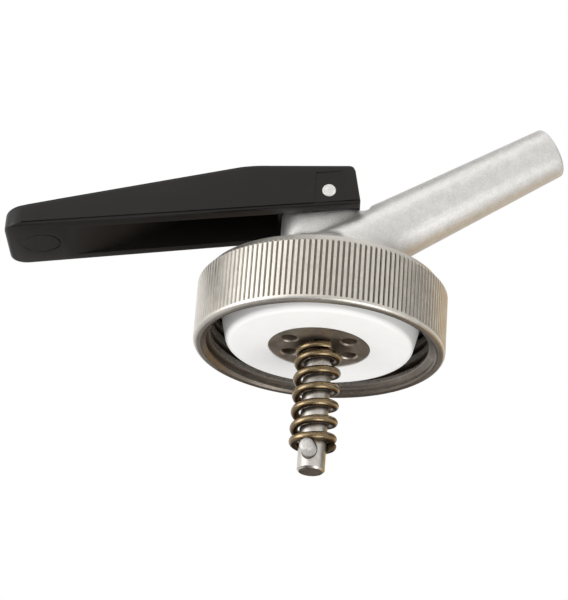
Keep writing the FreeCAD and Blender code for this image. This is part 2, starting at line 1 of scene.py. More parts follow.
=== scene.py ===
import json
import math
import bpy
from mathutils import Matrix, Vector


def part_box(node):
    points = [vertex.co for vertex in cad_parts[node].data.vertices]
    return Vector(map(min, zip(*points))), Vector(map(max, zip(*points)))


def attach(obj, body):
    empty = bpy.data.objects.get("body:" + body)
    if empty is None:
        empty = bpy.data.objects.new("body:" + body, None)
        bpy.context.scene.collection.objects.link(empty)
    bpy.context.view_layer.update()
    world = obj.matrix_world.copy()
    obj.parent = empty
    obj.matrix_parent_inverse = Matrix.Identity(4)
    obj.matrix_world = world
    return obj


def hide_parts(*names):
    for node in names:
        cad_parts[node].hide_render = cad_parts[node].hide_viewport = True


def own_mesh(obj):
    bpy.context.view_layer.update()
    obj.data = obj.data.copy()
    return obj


bl_info = {
    "name": "Jerrican tap",
    "version": (1, 0, 0),
    "blender": (4, 5, 0),
    "location": "3D View > Sidebar > Tap",
    "description": "Dresses a sprung lever tap with a union nut, and sets its studio",
    "category": "Object",
}

import bmesh
import bpy
from bpy.props import FloatProperty, FloatVectorProperty, PointerProperty
from bpy.types import Operator, Panel, PropertyGroup
from mathutils import Matrix, Vector

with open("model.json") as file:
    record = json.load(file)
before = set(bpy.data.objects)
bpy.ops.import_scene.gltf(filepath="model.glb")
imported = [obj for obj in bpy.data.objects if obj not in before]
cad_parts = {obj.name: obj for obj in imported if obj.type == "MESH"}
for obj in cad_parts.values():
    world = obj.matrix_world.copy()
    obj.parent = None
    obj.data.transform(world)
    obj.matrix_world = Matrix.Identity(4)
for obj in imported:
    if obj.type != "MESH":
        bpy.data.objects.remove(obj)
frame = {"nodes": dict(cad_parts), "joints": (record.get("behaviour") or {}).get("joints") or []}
NODES = frame["nodes"]
JOINTS = {joint["name"]: joint for joint in frame["joints"]}
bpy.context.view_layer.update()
MM = 0.001

PIVOT_Z = JOINTS["lever_press"]["pos_m"][2]
PIN_ABOVE_BLOCK = 2.25 * MM

# The camera fitted to the photograph: its place, and its right, up and back directions.
CAMERA_PLACE = (0.00474, -0.45024, -0.19209)
CAMERA_AXES = (
    (0.99764, -0.00200, 0.06857),
    (-0.06327, -0.41309, 0.90849),
    (0.02650, -0.91069, -0.41224),
)

# Name, place, diameter in metres and power in watts.
LAMPS = (
    ("key light", (-0.60, -0.70, 0.62), 1.8, 5.5),
    ("low light", (0.34, -0.33, -0.68), 0.6, 3.2),
    ("left light", (-0.95, -0.40, -0.12), 0.8, 5.5),
)

# Name, place, width and height in metres, and colour, or None for a warm card.
CARDS = (
    ("warm card", (0.24, 0.46, 0.28), (0.78, 0.52), None),
    ("low warm card", (0.27, 0.37, -0.27), (0.52, 0.56), None),
    ("back card", (0.03, 0.27, -0.13), (0.36, 0.5), (0.10, 0.082, 0.066)),
    ("near card", (0.02, -0.75, -0.34), (0.6, 0.34), (0.30, 0.295, 0.29)),
    ("top card", (-0.38, 0.14, 0.74), (0.9, 0.9), (0.12, 0.118, 0.115)),
    ("low card", (-0.06, -0.05, -0.40), (0.7, 0.6), (0.03, 0.02, 0.013)),
    ("front card", (0.0, -0.80, 0.42), (1.2, 0.9), (0.88, 0.865, 0.85)),
    ("upper card", (0.55, 0.42, 0.62), (0.9, 0.9), (0.42, 0.40, 0.38)),
    ("right card", (0.85, 0.22, 0.42), (1.3, 1.0), (0.25, 0.235, 0.21)),
)


def size(name, about, default):
    """A length property, kept in metres."""
    return FloatProperty(name=name, description=about, default=default, unit="LENGTH", precision=5)


def share(name, about, default):
    """A property from 0 to 1."""
    return FloatProperty(
        name=name, description=about, default=default, min=0.0, max=1.0, subtype="FACTOR"
    )


def colour(name, about, default):
    return FloatVectorProperty(
        name=name, description=about, default=default, min=0.0, max=1.0, subtype="COLOR"
    )


def angle(name, about, degrees):
    return FloatProperty(
        name=name, description=about, default=math.radians(degrees), unit="ROTATION"
    )


class CastBodySettings(PropertyGroup):
    voxel: size("Voxel", "Mesh step that the casting is remade at", 0.36 * MM)
    fillet: size("Fillet reach", "How far the cast fillets spread from an inner corner", 1.3 * MM)
    tint: colour("Colour", "Blasted stainless steel", (0.635, 0.622, 0.60))
    roughness: share("Roughness", "Gloss of the blasted skin", 0.46)
    grain: size("Grain", "Size of one blast mark", 0.16 * MM)
    spout_foot: size("Spout foot", "Level where the spout's axis crosses the stem's", 20.97 * MM)
    spout_slant: angle("Spout slant", "How steep the spout rises", 32.5)
    spout_length: size("Spout length", "From its foot to its mouth", 58.6 * MM)
    mouth: size("Mouth", "Radius of the spout's outside at the mouth", 5.79 * MM)
    bore: size("Bore", "Radius of the bore at the mouth", 4.5 * MM)
    mouth_round: size("Mouth round", "Rounding of the rim", 0.5 * MM)


class UnionNutSettings(PropertyGroup):
    tint: colour("Colour", "Turned stainless steel", (0.60, 0.57, 0.52))
    # Also the colour of the painted shade in the flutes, inside the nut and on its lip.
    grime_and_shade_tint: colour("Groove colour", "Dirt in the flutes and the thread", (0.075, 0.052, 0.034))
    roughness: share("Roughness", "Gloss of the turned skin", 0.38)


class SealingConeSettings(PropertyGroup):
    tint: colour("Colour", "White moulded plastic", (0.87, 0.865, 0.85))
    roughness: share("Roughness", "Gloss of the moulding", 0.38)


class ValveSettings(PropertyGroup):
    plate_tint: colour("Plate colour", "Dull steel of the valve plate", (0.48, 0.43, 0.37))
    stem_tint: colour("Stem colour", "Ground bright steel", (0.58, 0.548, 0.505))
    rubber_tint: colour("Ring colour", "Black rubber of the O-ring", (0.018, 0.017, 0.016))
    gasket_tint: colour("Gasket colour", "Red-brown rubber of the gasket", (0.13, 0.07, 0.045))
    pin_tint: colour("Pin colour", "Cropped ends of the lever's pin", (0.80, 0.785, 0.76))
    cross_tint: colour("Cross pin colour", "Skin of the spring's pin", (0.56, 0.545, 0.52))
    slip_tint: colour("Slip colour", "Natural nylon of the washer and bush", (0.74, 0.70, 0.60))


class SpringSettings(PropertyGroup):
    wire: size("Wire", "Diameter of the wire", 1.8 * MM)
    coil: size("Coil", "Radius of the coil to the wire's centre", 4.25 * MM)
    turns: FloatProperty(name="Turns", description="Turns from end to end", default=6.84, min=1.0)
    top: size("Top", "Level of the wire's centre at the top", 0.06 * MM)
    rest: size("Rest", "Level of the wire's centre on the pin", -21.3 * MM)
    anchor: size("Anchor", "Level of the plate that holds the top end", 1.0 * MM)
    pin_top: size("Pin top", "Level of the pin's top, which squeezes the spring", -22.24 * MM)
    # Also carries the painted highlight on the outside of the coil.
    tint: colour("Wire colour", "Drawn bronze where it is rubbed bright", (0.47, 0.355, 0.205))
    patina: colour("Patina colour", "Brown skin of the wire", (0.085, 0.058, 0.033))
    roughness: share("Roughness", "Gloss of the wire", 0.27)


class LeverSettings(PropertyGroup):
    reach: size("Reach", "From the pin to the tip", 70.6 * MM)
    heel: size("Heel", "From the pin to the heel's lower edge", 7.2 * MM)
    tip_width: size("Tip width", "Width across the tip", 20.0 * MM)
    heel_width: size("Heel width", "Width across the heel", 17.5 * MM)
    under_drop: size("Under drop", "From the pin down to the underside", 3.65 * MM)
    under_angle: angle("Under angle", "Slope of the underside", 8.6)
    top_rise: size("Top rise", "From the pin up to the top", 6.35 * MM)
    top_angle: angle("Top angle", "Slope of the top over the pin", 4.3)
    bend: size("Bend", "From the pin to the bend of the top", 18.25 * MM)
    bend_round: size("Bend rounding", "Radius of the bend of the top", 30 * MM)
    slope_angle: angle("Slope angle", "Slope of the top from the bend to the tip", 15.5)
    heel_slant: angle("Heel slant", "How far the heel leans back", 11.4)
    plan_round: size("Corner rounding", "Radius of the tip's corners seen from above", 4.0 * MM)
    tip_round: size("Tip rounding", "Radius of the tip's top edge", 1.2 * MM)
    heel_round: size("Heel rounding", "Radius of the heel's top edge", 1.6 * MM)
    edge_round: size("Edge rounding", "Radius of the long edges", 0.8 * MM)
    rim_round: size("Rim rounding", "Rounding of the channel's rim", 0.35 * MM)
    cheek: size("Cheek", "Wall on each side of the channel", 3.0 * MM)
    roof: size("Roof", "Wall over the channel", 2.2 * MM)
    block_back: size("Block", "From the pin to the back of the pivot block", 11.2 * MM)
    ramp_start: size("Ramp start", "From the pin to the foot of the channel's ramp", 49 * MM)
    ramp_end: size("Ramp end", "From the pin to the head of the channel's ramp", 30 * MM)
    ramp_round: size("Ramp rounding", "Radius at the foot of the channel's ramp", 50 * MM)
    parting: size("Parting line", "Width of the mould's line along each side", 0.55 * MM)
    tint: colour("Colour", "Black moulded plastic", (0.0050, 0.0036, 0.0032))
    roughness: share("Roughness", "Gloss of the moulding", 0.42)


class StageSettings(PropertyGroup):
    lens: FloatProperty(
        name="Lens", description="Focal length on a 36 mm frame, in mm", default=135.0, min=1.0
    )
    floor_level: size("Floor level", "Height of the studio floor", -900 * MM)
    floor_tint: colour("Floor colour", "Pale studio floor", (0.82, 0.82, 0.82))
    ambient: share("Ambient", "Level of the soft light from all round", 0.80)
    card_tint: colour("Warm card colour", "Glow on the metal's right edges", (0.60, 0.33, 0.012))


GROUPS = {
    "tap_cast_body": CastBodySettings,
    "tap_union_nut": UnionNutSettings,
    "tap_sealing_cone": SealingConeSettings,
    "tap_valve": ValveSettings,
    "tap_spring": SpringSettings,
    "tap_lever": LeverSettings,
    "tap_stage": StageSettings,
}


class Signal:
    """A shader socket that adds Math nodes where it is used in a sum."""

    def __init__(self, finish, socket):
        self.finish = finish
        self.socket = socket

    def maths(self, operation, *terms):
        return self.finish.node("Math", {"operation": operation}, dict(enumerate(terms)))

    def __add__(self, other):
        return self.maths("ADD", self, other)

    def __radd__(self, other):
        return self.maths("ADD", other, self)

    def __sub__(self, other):
        return self.maths("SUBTRACT", self, other)

    def __rsub__(self, other):
        return self.maths("SUBTRACT", other, self)

    def __mul__(self, other):
        return self.maths("MULTIPLY", self, other)

    def swing(self, spread):
        """How far the value is from 0.5, times the spread."""
        return (self - 0.5) * spread

    def fade(self, low, high, start=0.0, end=1.0):
        """A soft step from start to end while the value goes from low to high."""
        return self.finish.node(
            "MapRange",
            {"interpolation_type": "SMOOTHSTEP"},
            {"Value": self, "From Min": low, "From Max": high, "To Min": start, "To Max": end},
        )


class Finish:
    """One material. node() adds any shader node, and surface() closes the material."""

    def __init__(self, name, tree=None):
        if tree is None:
            self.material = bpy.data.materials.new(name)
            self.material.use_nodes = True
            tree = self.material.node_tree
        self.tree = tree
        tree.nodes.clear()
        self.coordinates = None

    def node(self, kind, settings=None, inputs=None, out=0):
        made = self.tree.nodes.new("ShaderNode" + kind)
        for key, value in (settings or {}).items():
            setattr(made, key, value)
        for key, value in (inputs or {}).items():
            socket = made.inputs[key]
            if isinstance(value, Signal):
                self.tree.links.new(value.socket, socket)
            elif socket.type == "RGBA" and len(value) == 3:
                socket.default_value = (*value, 1.0)
            else:
                socket.default_value = value
        return Signal(self, made.outputs[out]) if made.outputs else made

    @property
    def mm(self):
        """Object coordinates in millimetres."""
        if self.coordinates is None:
            place = self.node("TexCoord", out="Object")
            scale = (1 / MM, 1 / MM, 1 / MM)
            self.coordinates = self.node("Mapping", {}, {"Vector": place, "Scale": scale})
        return self.coordinates

    def stretched(self, scale, turn=(0, 0, 0)):
        """Coordinates in millimetres, turned and then stretched for a directional pattern."""
        turned = self.node("Mapping", {}, {"Vector": self.mm, "Rotation": turn})
        return self.node("Mapping", {}, {"Vector": turned, "Scale": scale})

    def axis(self, name):
        return self.node("SeparateXYZ", {}, {"Vector": self.mm}, out=name)

    def radius(self):
        """Distance from the nut's axis in millimetres."""
        flat = self.node("VectorMath", {"operation": "MULTIPLY"}, {0: self.mm, 1: (1, 1, 0)})
        return self.node("VectorMath", {"operation": "LENGTH"}, {0: flat}, out="Value")

    def noise(self, feature, detail=3.0, roughness=0.55, at=None):
        """Cloudy noise from 0 to 1 with features of that size in millimetres."""
        inputs = {
            "Vector": at or self.mm,
            "Scale": 1.0 / feature,
            "Detail": detail,
            "Roughness": roughness,
        }
        return self.node("TexNoise", {}, inputs, out="Fac")

    def cells(self, feature):
        """Distance to the nearest of scattered points, about that far apart in millimetres."""
        inputs = {"Vector": self.mm, "Scale": 1.0 / feature}
        return self.node("TexVoronoi", {}, inputs, out="Distance")

    def blend(self, factor, first, second):
        settings = {"data_type": "RGBA", "clamp_factor": True}
        return self.node("Mix", settings, {0: factor, 6: first, 7: second}, out=2)

    def mottle(self, factor, tint, first, second, low=0.3, high=0.7):
        """Goes from the tint times first to the tint times second."""
        tint = Vector(tint)
        return self.blend(factor.fade(low, high), tint * first, tint * second)

    def bump(self, height, depth, under=None):
        """Relief whose full height is that depth in millimetres."""
        inputs = {"Height": height, "Distance": depth * MM}
        if under:
            inputs["Normal"] = under
        return self.node("Bump", {}, inputs)

    def surface(self, **sockets):
        inputs = {key.replace("_", " "): value for key, value in sockets.items()}
        shader = self.node("BsdfPrincipled", {}, inputs)
        self.node("OutputMaterial", {}, {"Surface": shader})
        return self.material


def cast_steel(values):
    """Blasted casting: mottled, with bright specks, blast marks and a few dark pits."""
    finish = Finish("blasted cast steel")
    tint = Vector(values.tint)
    cloud = finish.noise(2.2, 4.0, 0.66)
    speckle = finish.noise(0.42, 3.0, 0.65)
    pits = 1 - finish.cells(0.8).fade(0.08, 0.2)
    pits = pits * finish.noise(3.0, 2.0).fade(0.52, 0.66)
    base = finish.mottle(cloud, tint, 0.93, 1.06, high=0.72)
    base = finish.blend(speckle.fade(0.38, 0.7, 0.0, 0.5), base, tint * 1.25)
    base = finish.blend(pits * 0.35, base, tint * 0.4)
    grain = finish.noise(values.grain / MM, 2.0, 0.7)
    relief = finish.bump(grain, 0.022)
    relief = finish.bump(finish.cells(0.34), 0.02, relief)
    relief = finish.bump(1 - pits, 0.07, relief)
    relief = finish.bump(finish.noise(2.6, 2.0), 0.03, relief)
    return finish.surface(
        Base_Color=base,
        Metallic=1.0,
        Roughness=values.roughness + cloud.swing(0.08) + speckle.swing(0.16),
        Normal=relief,
    )


def turned_steel(values):
    """Turned steel: grime and painted shade in the flutes, painted shade in the thread, rubbed
    lands, tool lines round the axis.
    """
    finish = Finish("turned steel")
    tint = Vector(values.tint)
    cloud = finish.noise(2.8, 4.0, 0.62)
    fine = finish.noise(0.35, 2.0, at=finish.stretched((1.0, 1.0, 0.4)))

    # Where on the nut, by its radius and its level above the rim in millimetres.
    radius = finish.radius()
    level = finish.axis("Z")
    lands = radius.fade(27.02, 27.26)
    outside = radius.fade(26.5, 26.8)
    over_grip = level.fade(13.7, 14.2)
    over_foot = level.fade(0.7, 1.1)
    under_ceiling = 1 - level.fade(15.0, 15.4)
    in_thread = level.fade(1.4, 1.9)
    groove = (1 - lands) * outside * (1 - over_grip) * over_foot
    inside = (1 - radius.fade(25.75, 26.05)) * under_ceiling
    crest = (1 - radius.fade(23.95, 24.25)) * in_thread
    root = radius.fade(24.2, 24.9) * in_thread
    lip = (1 - level.fade(0.02, 0.5)) * (1 - radius.fade(26.8, 27.3))

    # Painted light and shade: the flutes' grime is thinned on the left and deepened on the right,
    # where the light falls differently, and the lip is darkened towards the back.
    side = finish.axis("X")
    painted_side_shade = side.fade(-26.0, -10.0, 0.3, 1.0) * side.fade(8.0, 20.0, 1.0, 2.3)
    # Grime and painted shade in the flutes.
    grime_and_shade_amount = groove * (0.5 + cloud * 0.75) * painted_side_shade
    # Painted shade inside the nut, deeper at the thread's roots; the crests stay lighter as a
    # painted highlight.
    grime_and_shade_amount = grime_and_shade_amount + inside * (0.66 + cloud * 0.3 + root * 0.2 - crest * 0.3)
    # Painted shade on the lip, growing towards the back.
    grime_and_shade_amount = grime_and_shade_amount.maths("MAXIMUM", grime_and_shade_amount, lip * finish.axis("Y").fade(2.0, 18.0, 0.15, 0.85))

    base = finish.mottle(cloud, tint, 0.92, 1.05)
    base = finish.blend(fine.fade(0.45, 0.75, 0.0, 0.5), base, tint * 1.2)
    base = finish.blend(grime_and_shade_amount, base, values.grime_and_shade_tint)
    pits = (1 - finish.cells(0.42).fade(0.1, 0.3)) * finish.noise(3.0, 2.0).fade(0.48, 0.66)
    base = finish.blend(pits * 0.5, base, values.grime_and_shade_tint)
    lines = finish.noise(0.1, 2.0, at=finish.stretched((0.02, 0.02, 1.0)))
    gloss = values.roughness - inside * 0.12 + grime_and_shade_amount * 0.06
    return finish.surface(
        Base_Color=base,
        Metallic=1.0 - grime_and_shade_amount * 0.25,
        Roughness=gloss + cloud.swing(0.16) + fine.swing(0.2),
        Normal=finish.bump(finish.noise(0.22, 2.0), 0.022, finish.bump(lines, 0.006)),
    )


def white_plastic(values):
    """Satin white moulding with faint handling marks."""
    finish = Finish("white plastic")
    scuff_tint = (0.62, 0.6, 0.56)
    cloud = finish.noise(7.0, 3.0)
    scuffs = finish.noise(0.9, 3.0, at=finish.stretched((1.0, 0.16, 1.0), (0, 0, 0.6)))
    scuffs = scuffs.fade(0.62, 0.74)
    base = finish.mottle(cloud, values.tint, 1.0, 0.965, high=0.75)
    return finish.surface(
        Base_Color=finish.blend(scuffs * 0.1, base, scuff_tint),
        Roughness=values.roughness + cloud.swing(0.1) + scuffs * 0.12,
        Subsurface_Weight=0.12,
        Subsurface_Radius=(1.0, 0.95, 0.85),
        Subsurface_Scale=0.6 * MM,
        Normal=finish.bump(finish.noise(0.25, 2.0), 0.004),
    )


def plate_steel(tint):
    """Dull turned steel: rings of the facing tool, brown stains, painted shade in the holes and
    under the spring.
    """
    finish = Finish("dull plate steel")
    stain_tint = (0.13, 0.085, 0.05)
    hole_shade_tint = (0.13, 0.09, 0.055)
    shade_tint = (0.06, 0.042, 0.026)
    ring_place = {"W": finish.radius() * 3.4, "Scale": 1.0, "Detail": 3.0}
    rings = finish.node("TexNoise", {"noise_dimensions": "1D"}, ring_place, out="Fac")
    cloud = finish.noise(2.2, 4.0, 0.62)
    stain = finish.noise(4.0, 3.0).fade(0.5, 0.72)
    in_holes = finish.axis("Z").fade(1.3, 1.8)
    spring_shadow = 1 - finish.radius().fade(5.0, 7.8)
    base = finish.mottle(cloud, tint, 0.84, 1.14, high=0.72)
    base = finish.blend(stain * 0.45, base, stain_tint)
    # Painted shade on the holes' walls.
    base = finish.blend(in_holes * 0.85, base, hole_shade_tint)
    # Painted shadow of the spring, round the stem.
    base = finish.blend(spring_shadow * 0.65, base, shade_tint)
    return finish.surface(
        Base_Color=base,
        Metallic=0.94 - in_holes * 0.5,
        Roughness=0.4 + cloud.swing(0.2),
        Normal=finish.bump(finish.noise(0.2, 2.0), 0.008, finish.bump(rings, 0.012)),
    )


def bright_steel(tint):
    """Ground rod: fine rings round the rod, a little rubbed."""
    finish = Finish("bright steel")
    cloud = finish.noise(1.8, 4.0, 0.6)
    rings = finish.noise(0.14, 2.0, at=finish.stretched((0.04, 0.04, 1.0)))
    rubs = finish.noise(0.5, 3.0, at=finish.stretched((1.0, 1.0, 0.14))).fade(0.58, 0.74)
    base = finish.mottle(cloud, tint, 0.88, 1.1)
    return finish.surface(
        Base_Color=finish.blend(rubs * 0.35, base, Vector(tint) * 0.62),
        Metallic=1.0,
        Roughness=0.3 + cloud.swing(0.14) + rubs * 0.12,
        Normal=finish.bump(rings, 0.007),
    )


def cropped_pin(name, tint):
    """Pin cut off and tumbled: pale matt ends with a fine grain."""
    finish = Finish(name)
    grain = finish.noise(0.3, 3.0, 0.6)
    base = finish.mottle(finish.noise(1.4, 2.0), tint, 0.8, 1.0, 0.35, 0.65)
    return finish.surface(
        Base_Color=finish.blend(grain.fade(0.3, 0.6), Vector(tint) * 0.72, base),
        Metallic=0.35,
        Roughness=0.46 + grain.swing(0.3),
        Normal=finish.bump(grain, 0.02),
    )


def spring_wire(values):
    """Drawn bronze wire: brown patina, gold on the outside of the coil for rubbing and a painted
    highlight, die lines.
    """
    finish = Finish("bronze spring wire")
    rubbed = finish.radius().fade(4.55, 5.1)
    cloud = finish.noise(1.3, 4.0, 0.65)
    fine = finish.noise(0.3, 3.0, 0.6)
    lines = finish.noise(0.3, 3.0, 0.6, finish.stretched((0.1, 0.1, 1.0))).fade(0.4, 0.62)
    # More gold on the outside of the coil stands for rubbing and a painted highlight.
    bright = (rubbed * 0.5 + 0.1) * (0.2 + cloud * 0.55 + lines * 0.45)
    bright = bright + fine.fade(0.55, 0.8, 0.0, 0.1)
    return finish.surface(
        Base_Color=finish.blend(bright, values.patina, values.tint),
        Metallic=1.0,
        Roughness=values.roughness + cloud.swing(0.2),
        Normal=finish.bump(fine, 0.012, finish.bump(finish.noise(0.9, 2.0), 0.02)),
    )


def soft_finish(name, tint, roughness):
    """Plain moulded rubber or nylon with its fine mould grain."""
    finish = Finish(name)
    cloud = finish.noise(1.6, 3.0)
    return finish.surface(
        Base_Color=finish.mottle(cloud, tint, 0.86, 1.12),
        Roughness=roughness + cloud.swing(0.15),
        Normal=finish.bump(finish.noise(0.18, 2.0), 0.01),
    )


def black_plastic(values):
    """Satin black moulding: spark texture, faint flow streaks along the lever, light scuffs."""
    finish = Finish("black plastic")
    scuff_tint = (0.05, 0.045, 0.04)
    cloud = finish.noise(9.0, 3.0, 0.5, finish.stretched((0.35, 1.0, 1.0)))
    scuffs = finish.noise(0.7, 3.0, 0.6, finish.stretched((0.2, 1.0, 1.0), (0, 0.25, 0)))
    scuffs = scuffs.fade(0.64, 0.8)
    base = finish.mottle(cloud, values.tint, 0.85, 1.2)
    relief = finish.bump(finish.noise(0.16, 2.0), 0.006)
    waves = finish.noise(6.0, 2.0, at=finish.stretched((0.5, 1.0, 1.0)))
    return finish.surface(
        Base_Color=finish.blend(scuffs * 0.25, base, scuff_tint),
        Roughness=values.roughness + cloud.swing(0.1) + scuffs * 0.1,
        Specular_IOR_Level=0.32,
        Normal=finish.bump(waves, 0.03, relief),
    )


def dress(material, *nodes):
    """Gives carried-over nodes their finish."""
    for node in nodes:
        mesh = NODES[node].data
        mesh.materials.clear()
        mesh.materials.append(material)
        for face in mesh.polygons:
            face.material_index = 0


def deselect():
    bpy.ops.object.select_all(action="DESELECT")


def object_mode():
    bpy.ops.object.mode_set(mode="OBJECT")


def only(piece):
    """Selects one piece and makes it active."""
    if bpy.context.object and bpy.context.object.mode != "OBJECT":
        object_mode()
    deselect()
    piece.select_set(True)
    bpy.context.view_layer.objects.active = piece


def edit_all(piece):
    """Opens the piece in edit mode with its whole mesh selected."""
    only(piece)
    bpy.ops.object.mode_set(mode="EDIT")
    bpy.ops.mesh.select_all(action="SELECT")


def choose(piece, test, kind="VERT"):
    """Selects in edit mode the vertices, edges or faces for which the test holds."""
    bpy.ops.object.mode_set(mode="EDIT")
    bpy.ops.mesh.select_mode(type=kind)
    bpy.ops.mesh.select_all(action="DESELECT")
    object_mode()
    mesh = piece.data
    parts = {"VERT": mesh.vertices, "EDGE": mesh.edges, "FACE": mesh.polygons}[kind]
    found = 0
    for part in parts:
        part.select = bool(test(part))
        found += part.select
    bpy.ops.object.mode_set(mode="EDIT")
    return found


def ends_of(piece, edge):
    """An edge's two ends."""
    return [piece.data.vertices[i].co for i in edge.vertices]


def extrude(move):
    """Extrudes the selection."""
    bpy.ops.mesh.extrude_region_move(TRANSFORM_OT_translate={"value": move})


def face_outward():
    """Turns every normal outward and leaves edit mode."""
    bpy.ops.mesh.select_all(action="SELECT")
    bpy.ops.mesh.normals_make_consistent(inside=False)
    object_mode()


def copy_of(node, name):
    """A merged copy of a node's mesh as a piece of its own."""
    piece = bpy.data.objects.new(name, NODES[node].data.copy())
    bpy.context.scene.collection.objects.link(piece)
    piece.data.name = name
    edit_all(piece)
    bpy.ops.mesh.remove_doubles(threshold=0.002 * MM)
    bpy.ops.mesh.customdata_custom_splitnormals_clear()
    object_mode()
    return piece


def settle():
    """Puts the new primitive's place and size into its mesh."""
    piece = bpy.context.object
    only(piece)
    bpy.ops.object.transform_apply(location=True, rotation=True, scale=True)
    return piece


def block(low, high, name):
    """A box between two corners."""
    low, high = Vector(low), Vector(high)
    deselect()
    bpy.ops.mesh.primitive_cube_add(size=1, location=(low + high) / 2, scale=high - low)
    bpy.context.object.name = name
    return settle()


def score(piece, place, facing, **more):
    """Marks the line where a plane crosses the piece."""
    edit_all(piece)
    bpy.ops.mesh.bisect(plane_co=place, plane_no=Vector(facing).normalized(), **more)
    object_mode()


def trim(piece, place, facing):
    """Cuts away what lies beyond a plane."""
    score(piece, place, facing, use_fill=True, clear_outer=True)


def bevel(piece, test, offset, segments):
    """Rounds the edges for which the test on both ends holds."""
    if not choose(piece, lambda edge: test(*ends_of(piece, edge)), "EDGE"):
        raise RuntimeError(f"no edge of {piece.name} to round")
    bpy.ops.mesh.bevel(offset=offset, segments=segments, affect="EDGES", clamp_overlap=False)
    object_mode()


def modify(piece, kind, **settings):
    """Adds and applies a modifier."""
    only(piece)
    bpy.ops.object.modifier_add(type=kind)
    modifier = piece.modifiers[-1]
    for key, value in settings.items():
        setattr(modifier, key, value)
    bpy.ops.object.modifier_apply(modifier=modifier.name)


def carve(piece, *tools):
    """Cuts the tools out of the piece."""
    for tool in tools:
        modify(piece, "BOOLEAN", operation="DIFFERENCE", solver="EXACT", object=tool)
        bpy.data.objects.remove(tool)


def finish_piece(piece, material, body, nodes, sharp):
    """Finish, body, the nodes it stands for, and smooth shading up to an angle in degrees."""
    only(piece)
    piece.data.materials.clear()
    piece.data.materials.append(material)
    bpy.ops.object.shade_smooth_by_angle(angle=math.radians(sharp), keep_sharp_edges=False)
    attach(piece, body)
    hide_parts(*nodes)


class TAP_OT_cast_body(Operator):
    """Remakes the casting with soft cast fillets and a blasted skin"""

    bl_idname = "tap.cast_body"
    bl_label = "Cast body"

    def execute(self, context):
        values = context.scene.tap_cast_body
        piece = copy_of("tap_body", "cast_body")
        piece.data.remesh_voxel_size = values.voxel
        piece.data.remesh_voxel_adaptivity = 0.0
        bpy.ops.object.voxel_remesh()
        modify(piece, "SHRINKWRAP", wrap_method="NEAREST_SURFACEPOINT", target=NODES["tap_body"])
        self.soften(piece, values)
        self.rim(piece, values)
        finish_piece(piece, cast_steel(values), "tap_body", ["tap_body"], 60.0)
        return {"FINISHED"}

    def soften(self, piece, values):
        """Smooths the inner corners until they look cast, but not those inside the chamber."""
        inner_corner = -math.radians(9)
        flange_top = 12.9 * MM
        chamber_radius, chamber_top = 9 * MM, 22 * MM
        mesh = bmesh.new()
        mesh.from_mesh(piece.data)
        corners = set()
        for edge in mesh.edges:
            if len(edge.link_faces) == 2 and edge.calc_face_angle_signed() < inner_corner:
                middle = (edge.verts[0].co + edge.verts[1].co) / 2
                outside = middle.xy.length > chamber_radius or middle.z > chamber_top
                if outside and middle.z > flange_top:
                    corners.update(edge.verts)
        zones = []
        for _ in range(round(1.7 * values.fillet / values.voxel)):
            edges = [edge for vert in corners for edge in vert.link_edges]
            corners.update([vert for edge in edges for vert in edge.verts])
            zones.append({vert.index for vert in corners})
        mesh.free()

        # The ledge under the lever runs into the spout's tube, which takes more smoothing.
        ledge_start, ledge_end, ledge_low = 6.5 * MM, 13 * MM, 31.6 * MM
        ledge = {
            vert.index
            for vert in piece.data.vertices
            if ledge_start < vert.co.x < ledge_end and vert.co.z > ledge_low
        }
        for zone, repeat in [(ledge, 28)] + [(zone, 4) for zone in reversed(zones)]:
            choose(piece, lambda vert: vert.index in zone)
            bpy.ops.mesh.vertices_smooth(factor=0.5, repeat=repeat)
            object_mode()

    def rim(self, piece, values):
        """Cuts off the spout's end and draws it out again with a clean rounded rim."""
        foot = Vector((0, 0, values.spout_foot))
        axis = Vector((math.cos(values.spout_slant), 0, math.sin(values.spout_slant)))
        mouth, bore = values.mouth, values.bore
        end, round_off = values.spout_length, values.mouth_round
        start = end - 2 * MM
        on_plane, bore_ease = 0.001 * MM, 0.15 * MM
        round_steps = 5

        def along(place):
            return (place - foot).dot(axis)

        def outside(place):
            return (place - foot - axis * along(place)).length > (bore + mouth) / 2

        def at_start(edge):
            return all(abs(along(place) - start) < on_plane for place in ends_of(piece, edge))

        def at_end(edge):
            return all(along(place) > end - on_plane for place in ends_of(piece, edge))

        choose(piece, lambda face: True, "FACE")
        bpy.ops.mesh.bisect(
            plane_co=foot + axis * start, plane_no=axis, clear_outer=True, threshold=1e-7
        )
        object_mode()
        choose(piece, at_start, "EDGE")
        bpy.ops.mesh.remove_doubles(threshold=0.05 * MM)
        object_mode()

        # Distances along the spout with their radii. The tube tapers a little to its mouth.
        outer = [(start, mouth + 0.057 * MM), (end - round_off, mouth + 0.014 * MM)]
        for step in range(1, round_steps + 1):
            turn = step * math.pi / 2 / round_steps
            there = end - round_off * (1 - math.sin(turn))
            outer.append((there, mouth - round_off * (1 - math.cos(turn))))
        inner = [(start, bore), (end - bore_ease, bore), (end, bore + bore_ease)]
        for outline, wanted in ((outer, True), (inner, False)):

            def on_outline(edge):
                return at_start(edge) and outside(ends_of(piece, edge)[0]) == wanted

            choose(piece, on_outline, "EDGE")
            for (here, wide), (there, width) in zip(outline, outline[1:]):
                extrude(axis * (there - here))
                bpy.ops.transform.resize(
                    value=[width / wide] * 3, center_override=foot + axis * there
                )
            object_mode()
        choose(piece, at_end, "EDGE")
        bpy.ops.mesh.bridge_edge_loops()
        face_outward()


class TAP_OT_union_nut(Operator):
    """Finishes the fluted union nut"""

    bl_idname = "tap.union_nut"
    bl_label = "Union nut"

    def execute(self, context):
        dress(turned_steel(context.scene.tap_union_nut), "union_nut")
        return {"FINISHED"}


class TAP_OT_sealing_cone(Operator):
    """Finishes the white sealing cone"""

    bl_idname = "tap.sealing_cone"
    bl_label = "Sealing cone"

    def execute(self, context):
        dress(white_plastic(context.scene.tap_sealing_cone), "sealing_cone")
        return {"FINISHED"}


